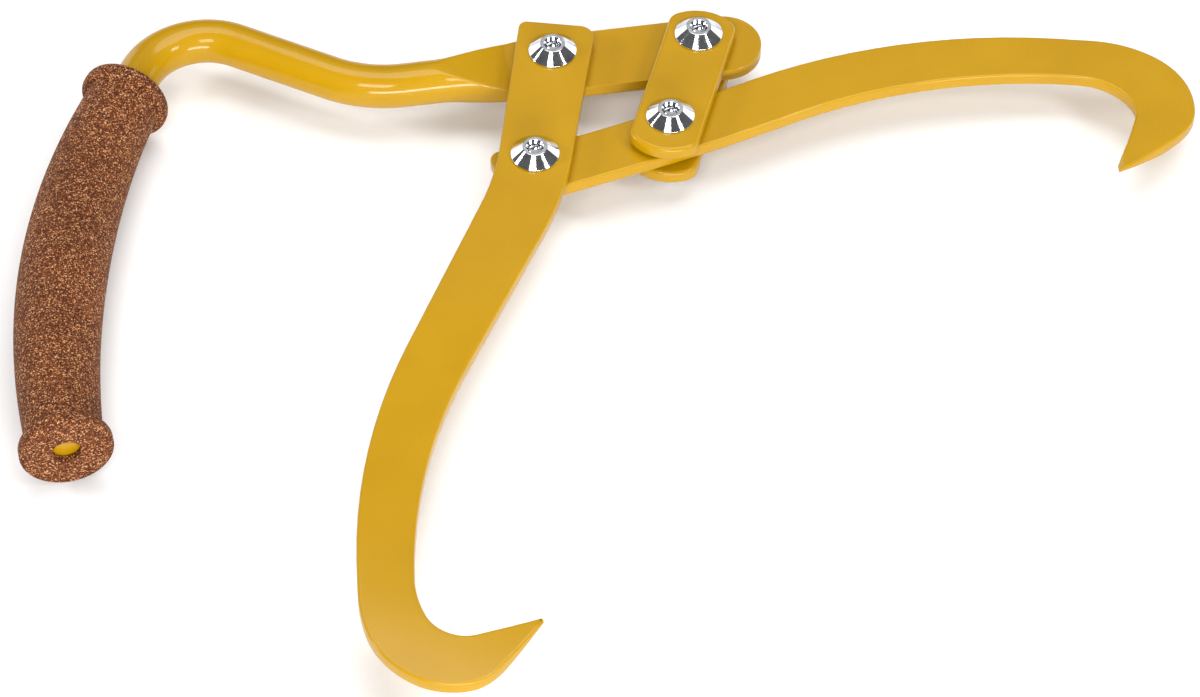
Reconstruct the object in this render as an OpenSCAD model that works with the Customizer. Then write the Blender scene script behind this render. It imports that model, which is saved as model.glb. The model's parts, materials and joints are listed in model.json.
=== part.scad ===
// Log tongs with a side hand grip: a forged bar carries two hooked jaws on four pivots.
// The bar is pivoted to the front jaw and, through a pair of links, to the rear jaw.
// X runs along the bar's blade towards its nose, Y away from the grip, Z up.
// The origin is on the bar's link pivot, at the lower end of its screw.

/* [Linkage] */
// Distance between the bar's two pivots
bar_pivot_gap = 54; // [50:0.5:57]
// Distance between the front jaw's two pivots
front_pivot_gap = 51.5; // [48:0.5:54]
// Distance between the rear jaw's two pivots
rear_pivot_gap = 52; // [50:0.5:56]
// Distance between the links' two pivots
link_pivot_gap = 42.5; // [41:0.5:46]
// Angle between the bar's blade and the front jaw as the tongs lie, in degrees
open_angle = 105.8; // [98:0.1:108]
// Play of the screw in the rear jaw's link hole, all round
link_hole_play = 1.3; // [1.2:0.05:2]

/* [Plates] */
// Thickness of the blade, the jaws and the links
plate_t = 5; // [4:0.5:7]
// Thickness of the spacers between the plates
shim_t = 1.2; // [0.8:0.1:2]
// Outer diameter of the spacers
shim_d = 16; // [14:0.5:20]

/* [Handle bar] */
// Width of the flat blade
blade_w = 28; // [26:0.5:32]
// Length of the blade beyond its link pivot
blade_nose = 23.2; // [18:0.2:28]
// Length of the bar's flat beyond its jaw pivot
blade_heel = 16; // [14:0.5:22]
// Length over which the round bar is forged down to the plate's thickness
flare_l = 27; // [18:1:36]
// Length over which the bar widens to the blade's width, which ends nearer the pivot
widen_l = 41; // [34:1:50]
// Diameter of the round bar
rod_d = 16; // [12:0.5:18]
// Straight length between the flare and the first bend
rod_lead = 11.9; // [6:0.1:20]
// Radius of the first bend, at the bar's centre
bend_1_r = 46.5; // [30:0.5:60]
// Angle of the first bend
bend_1_angle = 34.2; // [25:0.1:45]
// Straight length between the bends
rod_reach = 38.5; // [20:0.1:50]
// Radius of the second bend, at the bar's centre
bend_2_r = 25.3; // [20:0.1:40]
// Angle of the second bend
bend_2_angle = 95.1; // [85:0.1:105]
// Straight length between the second bend and the grip
rod_neck = 10.1; // [5:0.1:20]
// Rise of the crown on the bar's end
crown_h = 1.1; // [0.6:0.1:2]

/* [Grip] */
// Length of the grip along its bow
grip_l = 172; // [140:1:200]
// Radius of the grip's bow, at its centre
grip_bow_r = 302; // [200:1:500]
// Diameter of the grip's middle
grip_d = 31.5; // [28:0.1:36]
// Diameter of the grip next to its flanges
grip_neck_d = 27.1; // [24:0.1:30]
// Diameter of both flanges
flange_d = 32.8; // [31:0.1:40]
// Height of the upper flange
top_flange_h = 7; // [6:0.2:12]
// Rounding of the upper flange's end
top_flange_round = 3.6; // [2:0.2:4.6]
// Height of the lower flange
end_flange_h = 5.8; // [5:0.2:10]
// Rounding of the lower flange's end
end_flange_round = 1.2; // [0.6:0.2:2.4]
// Length over which a flange falls to the grip's neck
flange_fall = 2.2; // [1:0.2:3]
// Thickness of the grip's end wall
grip_wall = 3; // [2:0.5:5]
// Diameter of the hole in the end wall
grip_hole_d = 9.8; // [6:0.2:12]
// Room between the bar and the grip, all round
grip_fit = 0.05; // [0.02:0.01:0.2]

/* [Front jaw] */
// Length of the front jaw beyond the bar's pivot
front_top = 14.5; // [13:0.5:20]
// Width at the top end
front_top_w = 28.1; // [26:0.1:32]
// Width where the first bend starts
front_neck_w = 26.2; // [24:0.1:30]
// Length of the straight beyond the crossing pivot, which may fall short of it
front_run_past = -1.95; // [-6:0.05:4]
// Length of the first bend along its middle
front_bend_l = 31.7; // [25:0.05:45]
// Angle of the first bend, away from the other jaw
front_bend_angle = 14.8; // [8:0.1:22]
// Width where the first bend ends
front_waist_w = 25.7; // [22:0.1:30]
// Length of the straight between the bends
front_shank_l = 69; // [50:0.1:90]
// Width where that straight ends
front_shank_w = 23.1; // [20:0.1:28]
// Length of the long bend along its middle
front_arc_l = 101.6; // [80:0.1:130]
// Angle of the long bend, towards the other jaw
front_arc_angle = 25.5; // [18:0.1:36]
// Radius of the top end's outer corner
front_outer_corner = 3; // [1:0.5:8]
// Radius of the top end's inner corner
front_inner_corner = 5.5; // [1:0.5:8]

/* [Rear jaw] */
// Length of the rear jaw beyond the crossing pivot
rear_top = 14; // [13:0.5:18]
// Width at the top end
rear_top_w = 25; // [22:0.1:28]
// Length over which the top end narrows to the neck
rear_eye_l = 26; // [20:0.5:32]
// Angle by which the jaw's middle leans there, and straightens again
rear_eye_angle = 7.3; // [2:0.1:12]
// Width of the neck
rear_neck_w = 21.7; // [20:0.1:24]
// How far the first straight's middle lies off the line through its pivots
rear_offset = 1.95; // [0:0.05:3]
// Length of the first straight
rear_run_l = 14.4; // [8:0.1:24]
// Width where the first straight ends
rear_run_w = 21.6; // [20:0.1:26]
// Length of the first bend along its middle
rear_bend_l = 63.6; // [40:0.1:80]
// Angle of the first bend, away from the other jaw
rear_bend_angle = 5.4; // [2:0.1:10]
// Width where the first bend ends
rear_shank_w = 22.6; // [20:0.1:26]
// Length of the long bend along its middle
rear_arc_l = 118.7; // [90:0.1:150]
// Angle of the long bend, towards the other jaw
rear_arc_angle = 32.5; // [25:0.1:42]
// Radius of both corners of the top end
rear_corner = 4; // [2:0.5:8]
// Length of the ground facet behind the tip
tip_facet_l = 11; // [6:0.5:16]
// Width of the ground facet at the tip
tip_facet_w = 3; // [1.5:0.1:4]

/* [Hooks] */
// Width of both jaws where the hook starts
hook_root_w = 19; // [16:0.1:22]
// Width left at both tips
tip_w = 1.6; // [1:0.1:3]
// Radius of both tips' corners
tip_corner = 0.6; // [0.2:0.1:0.7]
// Length over which the underside is ground away towards both tips
tip_taper_l = 20; // [10:0.5:30]
// Thickness left at both tips
tip_t = 0.9; // [0.4:0.1:3]
// Reach over which each change of width is eased, both ways
width_ease = 3.5; // [1:0.5:6]
// Length of the front hook's first bend, along its inner edge
front_hook_1_l = 15.2; // [12:0.1:19]
// Angle of that bend
front_hook_1_angle = 22.2; // [16:0.1:28]
// Width where it ends
front_hook_1_w = 20.8; // [18:0.1:23]
// Length of the front hook's second bend, along its inner edge
front_hook_2_l = 13.4; // [11:0.1:17]
// Angle of that bend
front_hook_2_angle = 49.3; // [40:0.1:58]
// Width where it ends
front_hook_2_w = 21.5; // [19:0.1:24]
// Length of the front hook's third bend, along its inner edge
front_hook_3_l = 7.1; // [6:0.1:9]
// Angle of that bend
front_hook_3_angle = 30.7; // [24:0.1:36]
// Width where it ends
front_hook_3_w = 18.6; // [16:0.1:21]
// Length of the front point, along its inner edge
front_point_l = 22.6; // [19:0.1:28]
// Angle of the front point's own bend
front_point_angle = 2; // [0.5:0.1:8]
// Length of the rear hook's first bend, along its inner edge
rear_hook_1_l = 18.8; // [15:0.1:23]
// Angle of that bend
rear_hook_1_angle = 44.1; // [36:0.1:52]
// Width where it ends
rear_hook_1_w = 22.9; // [20:0.1:25]
// Length of the rear hook's second bend, along its inner edge
rear_hook_2_l = 7.6; // [6:0.1:10]
// Angle of that bend
rear_hook_2_angle = 27.6; // [20:0.1:34]
// Width where it ends
rear_hook_2_w = 22.4; // [20:0.1:25]
// Length of the rear hook's third bend, along its inner edge
rear_hook_3_l = 3.8; // [3:0.1:6]
// Angle of that bend
rear_hook_3_angle = 26.9; // [20:0.1:32]
// Width where it ends
rear_hook_3_w = 20.6; // [18:0.1:23]
// Length of the rear point, along its inner edge
rear_point_l = 28.4; // [24:0.1:34]
// Angle of the rear point's own bend
rear_point_angle = 9.8; // [4:0.1:16]

/* [Links] */
// Width of the two link plates
link_w = 25; // [22:0.5:30]
// Length of the links beyond the bar's pivot
link_top = 13; // [12:0.5:18]
// Length of the links beyond the rear jaw's pivot
link_foot = 16.7; // [13:0.1:22]
// Radius of the links' rounded ends
link_end_r = 17; // [16:0.5:25]
// Radius of the corners beside the rounded ends
link_corner_r = 5; // [2:0.5:8]

/* [Fasteners] */
// Diameter of the screws
screw_d = 7.9; // [7:0.1:9]
// Room between a screw and the hole it fills, all round
screw_fit = 0.05; // [0.02:0.01:0.1]
// Diameter of the screw heads
head_d = 17.5; // [15:0.5:20]
// Height of the screw heads
head_h = 4.4; // [4:0.1:6]
// Height of the rim at the foot of a screw head
head_rim_h = 0.8; // [0.4:0.1:1.5]
// Diameter of the flat on top of a screw head
head_flat_d = 9; // [8:0.1:11]
// Width of the hexagon socket across its flats
socket_af = 5; // [4:0.5:6]
// Depth of the hexagon socket
socket_depth = 2.6; // [2:0.1:3.2]
// Length of the jaw screws that stands out of their nuts
jaw_screw_tail = 1.8; // [0.5:0.1:4]
// Length of the link screws that stands out of their nuts
link_screw_tail = 0.6; // [0.5:0.1:4]
// Chamfer at the end of the screws
screw_chamfer = 0.8; // [0.4:0.1:1.2]
// Outer diameter of the washers under the nuts
washer_d = 16; // [14:0.5:20]
// Thickness of the washers
washer_t = 1.6; // [1:0.1:3]
// Room between a screw and a loose washer or spacer, all round
washer_fit = 0.3; // [0.1:0.05:0.5]
// Height of the nuts
nut_h = 8; // [7:0.5:10]
// Width of the nuts across their flats
nut_af = 13; // [12.5:0.5:16]
// Height of the nuts' round collar
collar_h = 2.5; // [2:0.1:3]
// Outer diameter of the collar
collar_d = 12; // [11.4:0.1:12.6]
// Thickness of the collar's rolled lip
collar_lip_t = 0.5; // [0.3:0.1:0.8]
// Diameter of the opening in the rolled lip
lip_hole_d = 9.2; // [8.6:0.1:9.8]
// Outer diameter of the locking ring in the collar
ring_d = 10.3; // [10:0.1:10.8]
// Height of the locking ring
ring_h = 1.7; // [1:0.1:1.9]

/* [Hidden] */
$fn = 96;
// Steps along the curved edges and round corners, in degrees
arc_step = 2.5;
corner_step = 10;
// Samples on each side that an eased width is the mean of
ease_steps = 4;
// Facets round the grip, along its body and round each flange's edges
grip_sides = 32;
grip_rings = 12;
flange_steps = 4;
// Rings along the flare
flare_steps = 10;
// Overshoot of a cut, so that it leaves no skin
cut = 1;
// Straight stretches of round bar are this much thinner, and run this far into the bends
seam = 0.08;
lap = 1;

// Heights: a screw's lower end stands on Z = 0, and every plate is stacked from there
z_rear_link = link_screw_tail + nut_h + washer_t;
z_blade = z_rear_link + plate_t + shim_t;
z_mid = z_blade + plate_t / 2;
z_front = z_blade + plate_t + shim_t;
z_top = z_front + plate_t;

// Places of the four pivots
bar_jaw = [-bar_pivot_gap, 0];
bar_link = [0, 0];
front_heading = -open_angle;
jaw_cross = bar_jaw + front_pivot_gap * aim(front_heading);
// The rear jaw's link pivot is where its own length and the links' length meet
cross_to_link = bar_link - jaw_cross;
span = norm(cross_to_link);
span_heading = atan2(cross_to_link.y, cross_to_link.x);
rear_heading = span_heading - corner_angle(rear_pivot_gap, span, link_pivot_gap);
link_jaw = jaw_cross + rear_pivot_gap * aim(rear_heading);
link_heading = atan2(link_jaw.y, link_jaw.x);

// Each pivot's name, place, lowest plate face and length of screw left under its nut
PIVOTS = [
    ["bar_jaw", bar_jaw, z_blade, jaw_screw_tail],
    ["bar_link", bar_link, z_rear_link, link_screw_tail],
    ["jaw_cross", jaw_cross, z_blade, jaw_screw_tail],
    ["link_jaw", link_jaw, z_rear_link, link_screw_tail],
];
// Each spacer's name, place and lower face
z_front_shim = z_front - shim_t;
z_rear_shim = z_blade - shim_t;
SHIMS = [
    ["bar_jaw", bar_jaw, z_front_shim],
    ["jaw_cross", jaw_cross, z_front_shim],
    ["bar_link_front", bar_link, z_front_shim],
    ["bar_link_rear", bar_link, z_rear_shim],
    ["link_jaw_front", link_jaw, z_front_shim],
    ["link_jaw_rear", link_jaw, z_rear_shim],
];

// The round bar, in straights and bends; each is a length along its middle and a left turn
function bend(r, turn) = [r * abs(turn) * PI / 180, turn];
bar_start = [-bar_pivot_gap - blade_heel - flare_l, 0, 180];
free_run = [
    [rod_lead, 0],
    bend(bend_1_r, -bend_1_angle),
    [rod_reach, 0],
    bend(bend_2_r, bend_2_angle),
    [rod_neck, 0],
];
// The bow inside the grip is a left bend of the grip's length
bow_turn = grip_l / grip_bow_r * 180 / PI;
grip_start = run_end(bar_start, free_run);
grip_end = ahead(grip_start, grip_l, bow_turn);
rod_end_l = grip_l - grip_wall - crown_h;
function grip_pose(l) = ahead(grip_start, l, bow_turn * l / grip_l);

// Each jaw's band is laid out along its middle, and its hook along its inner edge, on side 1 for
// the left or -1 for the right; each step is a length, a turn and the width where it ends
FRONT_PLAN = [
    [front_top + front_pivot_gap + front_run_past, 0, front_neck_w],
    [front_bend_l, -front_bend_angle, front_waist_w],
    [front_shank_l, 0, front_shank_w],
    [front_arc_l, front_arc_angle, hook_root_w],
];
FRONT_HOOK = [
    [front_hook_1_l, front_hook_1_angle, front_hook_1_w],
    [front_hook_2_l, front_hook_2_angle, front_hook_2_w],
    [front_hook_3_l, front_hook_3_angle, front_hook_3_w],
    [front_point_l, front_point_angle, tip_w],
];
REAR_PLAN = [
    [rear_eye_l / 2, -rear_eye_angle, (rear_top_w + rear_neck_w) / 2],
    [rear_eye_l / 2, rear_eye_angle, rear_neck_w],
    [rear_run_l, 0, rear_run_w],
    [rear_bend_l, rear_bend_angle, rear_shank_w],
    [rear_arc_l, -rear_arc_angle, hook_root_w],
];
REAR_HOOK = [
    [rear_hook_1_l, -rear_hook_1_angle, rear_hook_1_w],
    [rear_hook_2_l, -rear_hook_2_angle, rear_hook_2_w],
    [rear_hook_3_l, -rear_hook_3_angle, rear_hook_3_w],
    [rear_point_l, -rear_point_angle, tip_w],
];
FRONT_JAW = [[-front_top, 0, 0], front_top_w, FRONT_PLAN, FRONT_HOOK, 1];
rear_eye_shift = run_end([0, 0, 0], [REAR_PLAN[0], REAR_PLAN[1]]).y;
REAR_JAW = [[-rear_top, -rear_offset - rear_eye_shift, 0], rear_top_w, REAR_PLAN, REAR_HOOK, -1];

// Unit vector in a heading, and the corner between two known sides of a triangle
function aim(heading) = [cos(heading), sin(heading)];
function corner_angle(a, b, opposite) = acos((a * a + b * b - opposite * opposite) / (2 * a * b));

// A pose is x, y and heading; this is the pose after a length with a turn to the left
function ahead(pose, l, turn) = turn == 0
    ? [pose.x + l * cos(pose.z), pose.y + l * sin(pose.z), pose.z]
    : let (r = l * 180 / PI / turn, h = pose.z + turn)
        [pose.x + r * (sin(h) - sin(pose.z)), pose.y - r * (cos(h) - cos(pose.z)), h];
function run_end(pose, run, i = 0) = i == len(run)
    ? pose
    : run_end(ahead(pose, run[i][0], run[i][1]), run, i + 1);
function run_starts(pose, run, i = 0) = i == len(run)
    ? []
    : concat([pose], run_starts(ahead(pose, run[i][0], run[i][1]), run, i + 1));

// The point beside a pose at a distance, on side 1 for the left or -1 for the right
function beside(pose, d, side) = [pose.x - side * d * sin(pose.z), pose.y + side * d * cos(pose.z)];

// Widths along a plan, as a table of distance and width, and the eased width at a distance
function widths(w, plan, from = 0, i = 0) = i == len(plan)
    ? [[from, w]]
    : concat([[from, w]], widths(plan[i][2], plan, from + plan[i][0], i + 1));
function eased_width(table, s) =
    let (
        reach = min(width_ease, s - table[0][0], table[len(table) - 1][0] - s),
        shares = [for (k = [-ease_steps : ease_steps]) lookup(s + reach * k / ease_steps, table)]
    ) shares * [for (x = shares) 1] / len(shares);

// Stations along a plan: each is its distance along the plan and its pose
function stations(start, plan, from = 0, i = 0) = i == len(plan)
    ? []
    : let (n = max(2, ceil(abs(plan[i][1]) / arc_step))) concat(
        [for (k = [1 : n]) [from + plan[i][0] * k / n,
            ahead(start, plan[i][0] * k / n, plan[i][1] * k / n)]],
        stations(ahead(start, plan[i][0], plan[i][1]), plan, from + plan[i][0], i + 1)
    );

// One edge of a jaw, from its top end to its tip; side is 1 on the left and -1 on the right
function jaw_edge(jaw, side) =
    let (
        plan = jaw[2],
        inner = jaw[4],
        table = widths(jaw[1], concat(plan, jaw[3])),
        root = run_end(jaw[0], plan),
        root_s = table[len(plan)][0],
        at_root = beside(root, eased_width(table, root_s) / 2, inner),
        hook_start = [at_root.x, at_root.y, root.z]
    ) concat(
        [beside(jaw[0], jaw[1] / 2, side)],
        [for (s = stations(jaw[0], plan)) beside(s[1], eased_width(table, s[0]) / 2, side)],
        [for (s = stations(hook_start, jaw[3], root_s))
            beside(s[1], side == inner ? 0 : eased_width(table, s[0]), side)]
    );
function reversed(points) = [for (i = [len(points) - 1 : -1 : 0]) points[i]];
function between(points) = [for (i = [1 : len(points) - 2]) points[i]];

// Points of the arc that rounds corner b, on the way from a to c
function rounded(a, b, c, r) =
    let (
        u = (a - b) / norm(a - b),
        v = (c - b) / norm(c - b),
        half = acos(u * v) / 2,
        middle = b + (u + v) / norm(u + v) * r / sin(half),
        from = b + u * r / tan(half) - middle,
        to = b + v * r / tan(half) - middle,
        start = atan2(from.y, from.x),
        turn = (atan2(to.y, to.x) - start + 360 + 180) % 360 - 180,
        n = ceil(abs(turn) / corner_step)
    ) [for (k = [0 : n]) middle + r * aim(start + turn * k / n)];

// Outline of a jaw: up its right edge from a rounded top end, round its tip, and back down its
// left edge
function jaw_outline(jaw, right_corner, left_corner) =
    let (right = jaw_edge(jaw, -1), left = jaw_edge(jaw, 1), n = len(left) - 1) concat(
        rounded(left[0], right[0], right[1], right_corner),
        between(right),
        rounded(right[n - 1], right[n], left[n], tip_corner),
        rounded(right[n], left[n], left[n - 1], tip_corner),
        reversed(between(left)),
        rounded(left[1], left[0], right[0], left_corner)
    );

// Puts something that starts at the origin along X at a point and heading
module at(point, heading = 0, z = 0) {
    translate([point.x, point.y, z]) rotate([0, 0, heading]) children();
}

// A hole for a screw through a plate
module screw_hole(point, z, play = screw_fit) {
    at(point, 0, z - cut) cylinder(h = plate_t + 2 * cut, d = screw_d + 2 * play);
}

// A round bar along a run of straights and bends
module round_run(pose, run, r) {
    starts = run_starts(pose, run);
    last = len(run) - 1;
    for (i = [0 : last]) at(starts[i], starts[i].z)
        if (run[i][1] == 0) {
            before = i > 0 ? lap : 0;
            after = i < last ? lap : 0;
            translate([-before, 0, 0]) rotate([0, 90, 0])
                cylinder(h = run[i][0] + before + after, r = r - seam);
        }
        else bent_bar(run[i], r);
}

module bent_bar(bent, r) {
    turn = bent[1];
    bend_r = bent[0] * 180 / PI / abs(turn);
    mirror([0, turn < 0 ? 1 : 0, 0]) translate([0, bend_r, 0]) rotate([0, 0, -90])
        rotate_extrude(angle = abs(turn)) translate([bend_r, 0]) circle(r = r);
}

// The bar is forged from round to flat: it widens in a soft curve between two closing planes
module flare() {
    end_r = norm([blade_w, plate_t]) / 2;
    widening = [for (k = [0 : flare_steps]) let (f = k / flare_steps)
        [rod_d / 2 + (end_r - rod_d / 2) * f * f * (3 - 2 * f), widen_l * f]];
    intersection() {
        rotate([0, 90, 0]) rotate_extrude()
            polygon(concat([[0, 0]], widening, [[0, widen_l]]));
        rotate([90, 0, 0]) linear_extrude(blade_w, center = true) polygon([
            [0, -rod_d / 2],
            [flare_l, -plate_t / 2],
            [widen_l, -plate_t / 2],
            [widen_l, plate_t / 2],
            [flare_l, plate_t / 2],
            [0, rod_d / 2],
        ]);
    }
}

module handle_bar() {
    nose_x = blade_nose - blade_w / 2;
    heel_x = bar_start.x + widen_l;
    color("goldenrod") difference() {
        union() {
            translate([0, 0, z_blade]) linear_extrude(plate_t) union() {
                translate([heel_x, -blade_w / 2]) square([nose_x - heel_x, blade_w]);
                translate([nose_x, 0]) circle(d = blade_w);
            }
            translate([bar_start.x, 0, z_mid]) flare();
            translate([0, 0, z_mid]) {
                round_run(bar_start, concat(free_run, [[rod_end_l, bow_turn * rod_end_l / grip_l]]),
                    rod_d / 2);
                at(grip_pose(rod_end_l), grip_pose(rod_end_l).z) translate([-lap, 0, 0]) rod_crown();
            }
        }
        screw_hole(bar_jaw, z_blade);
        screw_hole(bar_link, z_blade);
    }
}

// Low crown on the end of the round bar, from a little inside it
module rod_crown() {
    edge_r = (rod_d - crown_h) / 2;
    crown_r = (edge_r ^ 2 + crown_h ^ 2) / (2 * crown_h);
    rotate([0, 90, 0]) rotate_extrude() intersection() {
        translate([0, lap + crown_h - crown_r]) circle(r = crown_r, $fn = 4 * $fn);
        square([edge_r, lap + crown_h]);
    }
}

// The grip's outside, as distances along it with the radius there, from end to end
body_l = grip_l - top_flange_h - end_flange_h;
function body_r(f) = (grip_neck_d + (grip_d - grip_neck_d) * sin(180 * f)) / 2;
// A flange from its end to the neck: a rounded edge, then the fall
function flange_rim(h, round) = let (fall_r = (flange_d - grip_neck_d) / 2) concat(
    [for (k = [0 : flange_steps]) let (a = 90 * k / flange_steps)
        [round * (1 - cos(a)), flange_d / 2 - round * (1 - sin(a))]],
    [for (k = [0 : flange_steps]) let (a = 90 * k / flange_steps)
        [h - flange_fall * (1 - sin(a)), flange_d / 2 - fall_r * (1 - cos(a))]]
);
GRIP_PROFILE = concat(
    flange_rim(top_flange_h, top_flange_round),
    [for (k = [1 : grip_rings - 1]) [top_flange_h + body_l * k / grip_rings, body_r(k / grip_rings)]],
    [for (p = reversed(flange_rim(end_flange_h, end_flange_round))) [grip_l - p[0], p[1]]]
);

// A closed skin of rings round the grip's bow
module bowed_skin(profile) {
    rings = len(profile);
    points = [for (p = profile) let (at = grip_pose(p[0])) for (k = [0 : grip_sides - 1])
        let (a = 360 * k / grip_sides)
            [at.x - p[1] * cos(a) * sin(at.z), at.y + p[1] * cos(a) * cos(at.z), p[1] * sin(a)]];
    sides = [for (i = [0 : rings - 2], k = [0 : grip_sides - 1]) let (n = (k + 1) % grip_sides)
        [i * grip_sides + k, (i + 1) * grip_sides + k, (i + 1) * grip_sides + n, i * grip_sides + n]];
    first = [for (k = [0 : grip_sides - 1]) k];
    last = [for (k = [grip_sides - 1 : -1 : 0]) (rings - 1) * grip_sides + k];
    polyhedron(points, concat([first], sides, [last]), convexity = 6);
}

module grip() {
    bore_l = grip_l - grip_wall;
    color("sienna") translate([0, 0, z_mid]) difference() {
        bowed_skin(GRIP_PROFILE);
        round_run(ahead(grip_start, -rod_neck, 0),
            [[rod_neck, 0], [bore_l, bow_turn * bore_l / grip_l]], rod_d / 2 + grip_fit);
        at(grip_end, grip_end.z) translate([-grip_wall - cut, 0, 0]) rotate([0, 90, 0])
            cylinder(h = grip_wall + 2 * cut, d = grip_hole_d);
    }
}

module front_jaw() {
    color("goldenrod") difference() {
        at(bar_jaw, front_heading, z_front) difference() {
            linear_extrude(plate_t)
                polygon(jaw_outline(FRONT_JAW, front_outer_corner, front_inner_corner));
            tip_taper(FRONT_JAW);
        }
        screw_hole(bar_jaw, z_front);
        screw_hole(jaw_cross, z_front);
    }
}

module rear_jaw() {
    color("goldenrod") difference() {
        at(jaw_cross, rear_heading, z_blade) difference() {
            linear_extrude(plate_t) polygon(jaw_outline(REAR_JAW, rear_corner, rear_corner));
            tip_taper(REAR_JAW);
            tip_facet(REAR_JAW);
        }
        screw_hole(jaw_cross, z_blade);
        screw_hole(link_jaw, z_blade, link_hole_play);
    }
}

// Pose of a jaw's tip on its inner edge: where the edge ends and the way it points there
function tip_pose(jaw) =
    let (inner = jaw_edge(jaw, jaw[4]), n = len(inner), d = inner[n - 1] - inner[n - 2])
        [inner[n - 1].x, inner[n - 1].y, atan2(d.y, d.x)];

// The wedge ground off the underside, so that the point also narrows in thickness
module tip_taper(jaw) {
    tip = tip_pose(jaw);
    rise = plate_t - tip_t;
    over = cut * rise / tip_taper_l;
    at(tip, tip.z) rotate([90, 0, 0]) linear_extrude(2 * tip_taper_l, center = true) polygon([
        [-tip_taper_l - cut, -over],
        [2 * tip_taper_l, -over],
        [2 * tip_taper_l, rise * 3],
        [0, rise],
    ]);
}

// The facet ground on the mouth side of the rear jaw's tip, deepest at the tip itself
module tip_facet(jaw) {
    tip = tip_pose(jaw);
    fall = atan2(plate_t / 2, tip_facet_w);
    slope = atan2(plate_t / 2, tip_facet_l);
    at(tip, tip.z, plate_t / 2) rotate([0, slope, 0]) rotate([fall, 0, 0])
        translate([-2 * tip_facet_l, -plate_t, 0])
            cube([3 * tip_facet_l, 3 * plate_t, plate_t]);
}

// Half of a link's outline: a rounded end at x, mirrored by the sign of x
function link_end(x) =
    let (
        side = sign(x),
        middle = abs(x) - link_end_r,
        inset = link_w / 2 - link_corner_r,
        corner_x = middle + sqrt((link_end_r - link_corner_r) ^ 2 - inset ^ 2),
        lean = atan2(inset, corner_x - middle),
        corner_n = ceil((90 - lean) / corner_step),
        end_n = ceil(2 * lean / (2 * arc_step))
    ) [for (p = concat(
        [for (k = [0 : corner_n - 1])
            [corner_x, -inset] + link_corner_r * aim(-90 + (90 - lean) * k / corner_n)],
        [for (k = [0 : end_n]) [middle, 0] + link_end_r * aim(-lean + 2 * lean * k / end_n)],
        [for (k = [1 : corner_n])
            [corner_x, inset] + link_corner_r * aim(lean + (90 - lean) * k / corner_n)]
    )) side * p];

module link(z) {
    color("goldenrod") difference() {
        at(bar_link, link_heading, z) linear_extrude(plate_t)
            polygon(concat(link_end(link_pivot_gap + link_foot), link_end(-link_top)));
        screw_hole(bar_link, z);
        screw_hole(link_jaw, z);
    }
}

module front_link() {
    link(z_front);
}

module rear_link() {
    link(z_rear_link);
}

// Round-head screw: a shank with a chamfered end, and a low conical head with a socket
module screw(pivot) {
    end_z = pivot[2] - washer_t - nut_h - pivot[3];
    r = screw_d / 2;
    color("silver") at(pivot[1]) difference() {
        rotate_extrude() polygon([
            [0, end_z],
            [r - screw_chamfer, end_z],
            [r, end_z + screw_chamfer],
            [r, z_top],
            [head_d / 2, z_top],
            [head_d / 2, z_top + head_rim_h],
            [head_flat_d / 2, z_top + head_h],
            [0, z_top + head_h],
        ]);
        translate([0, 0, z_top + head_h - socket_depth])
            cylinder(h = socket_depth + cut, d = socket_af / cos(30), $fn = 6);
    }
}

module washer(pivot) {
    color("silver") at(pivot[1], 0, pivot[2] - washer_t) ring(washer_d, washer_t);
}

module shim(place) {
    color("dimgray") at(place[1], 0, place[2]) ring(shim_d, shim_t);
}

// A flat ring that is loose on a screw
module ring(outer_d, h) {
    difference() {
        cylinder(h = h, d = outer_d);
        translate([0, 0, -cut]) cylinder(h = h + 2 * cut, d = screw_d + 2 * washer_fit);
    }
}

// Lock nut, from its washer down: a chamfered hexagon, then a round collar with a rolled lip
module nut(pivot) {
    hex_h = nut_h - collar_h;
    hex_r = nut_af / 2 / cos(30);
    hex_chamfer = hex_r - nut_af / 2;
    recess_h = ring_h + screw_fit;
    color("silver") at(pivot[1], 0, pivot[2] - washer_t) mirror([0, 0, 1]) difference() {
        union() {
            intersection() {
                cylinder(h = hex_h, r = hex_r, $fn = 6);
                rotate_extrude() polygon([
                    [0, 0],
                    [nut_af / 2, 0],
                    [hex_r, hex_chamfer / 2],
                    [hex_r, hex_h - hex_chamfer / 2],
                    [nut_af / 2, hex_h],
                    [0, hex_h],
                ]);
            }
            translate([0, 0, hex_h - cut]) cylinder(h = collar_h + cut, d = collar_d);
        }
        translate([0, 0, -cut]) cylinder(h = nut_h + 2 * cut, d = screw_d + 2 * screw_fit);
        translate([0, 0, nut_h - collar_lip_t - recess_h])
            cylinder(h = recess_h, d = ring_d + 2 * screw_fit);
        translate([0, 0, nut_h - collar_lip_t - cut])
            cylinder(h = collar_lip_t + 2 * cut, d = lip_hole_d);
    }
}

// The plastic ring that locks the nut
module nut_ring(pivot) {
    z = pivot[2] - washer_t - nut_h + collar_lip_t;
    color("white") at(pivot[1], 0, z) difference() {
        cylinder(h = ring_h, d = ring_d);
        translate([0, 0, -cut]) cylinder(h = ring_h + 2 * cut, d = screw_d + 2 * screw_fit);
    }
}

handle_bar();
grip();
front_jaw();
rear_jaw();
front_link();
rear_link();
for (p = PIVOTS) {
    screw(p);
    washer(p);
    nut(p);
    nut_ring(p);
}
for (s = SHIMS) shim(s);
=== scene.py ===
# Log tongs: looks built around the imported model, in its frame. Lengths are in millimetres
# until a piece is made, which turns them into metres. Lamps are placed in metres.
import json
import math
import bmesh
import bpy
import numpy as np
from mathutils import Matrix, Vector
from mathutils.geometry import tessellate_polygon


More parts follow.
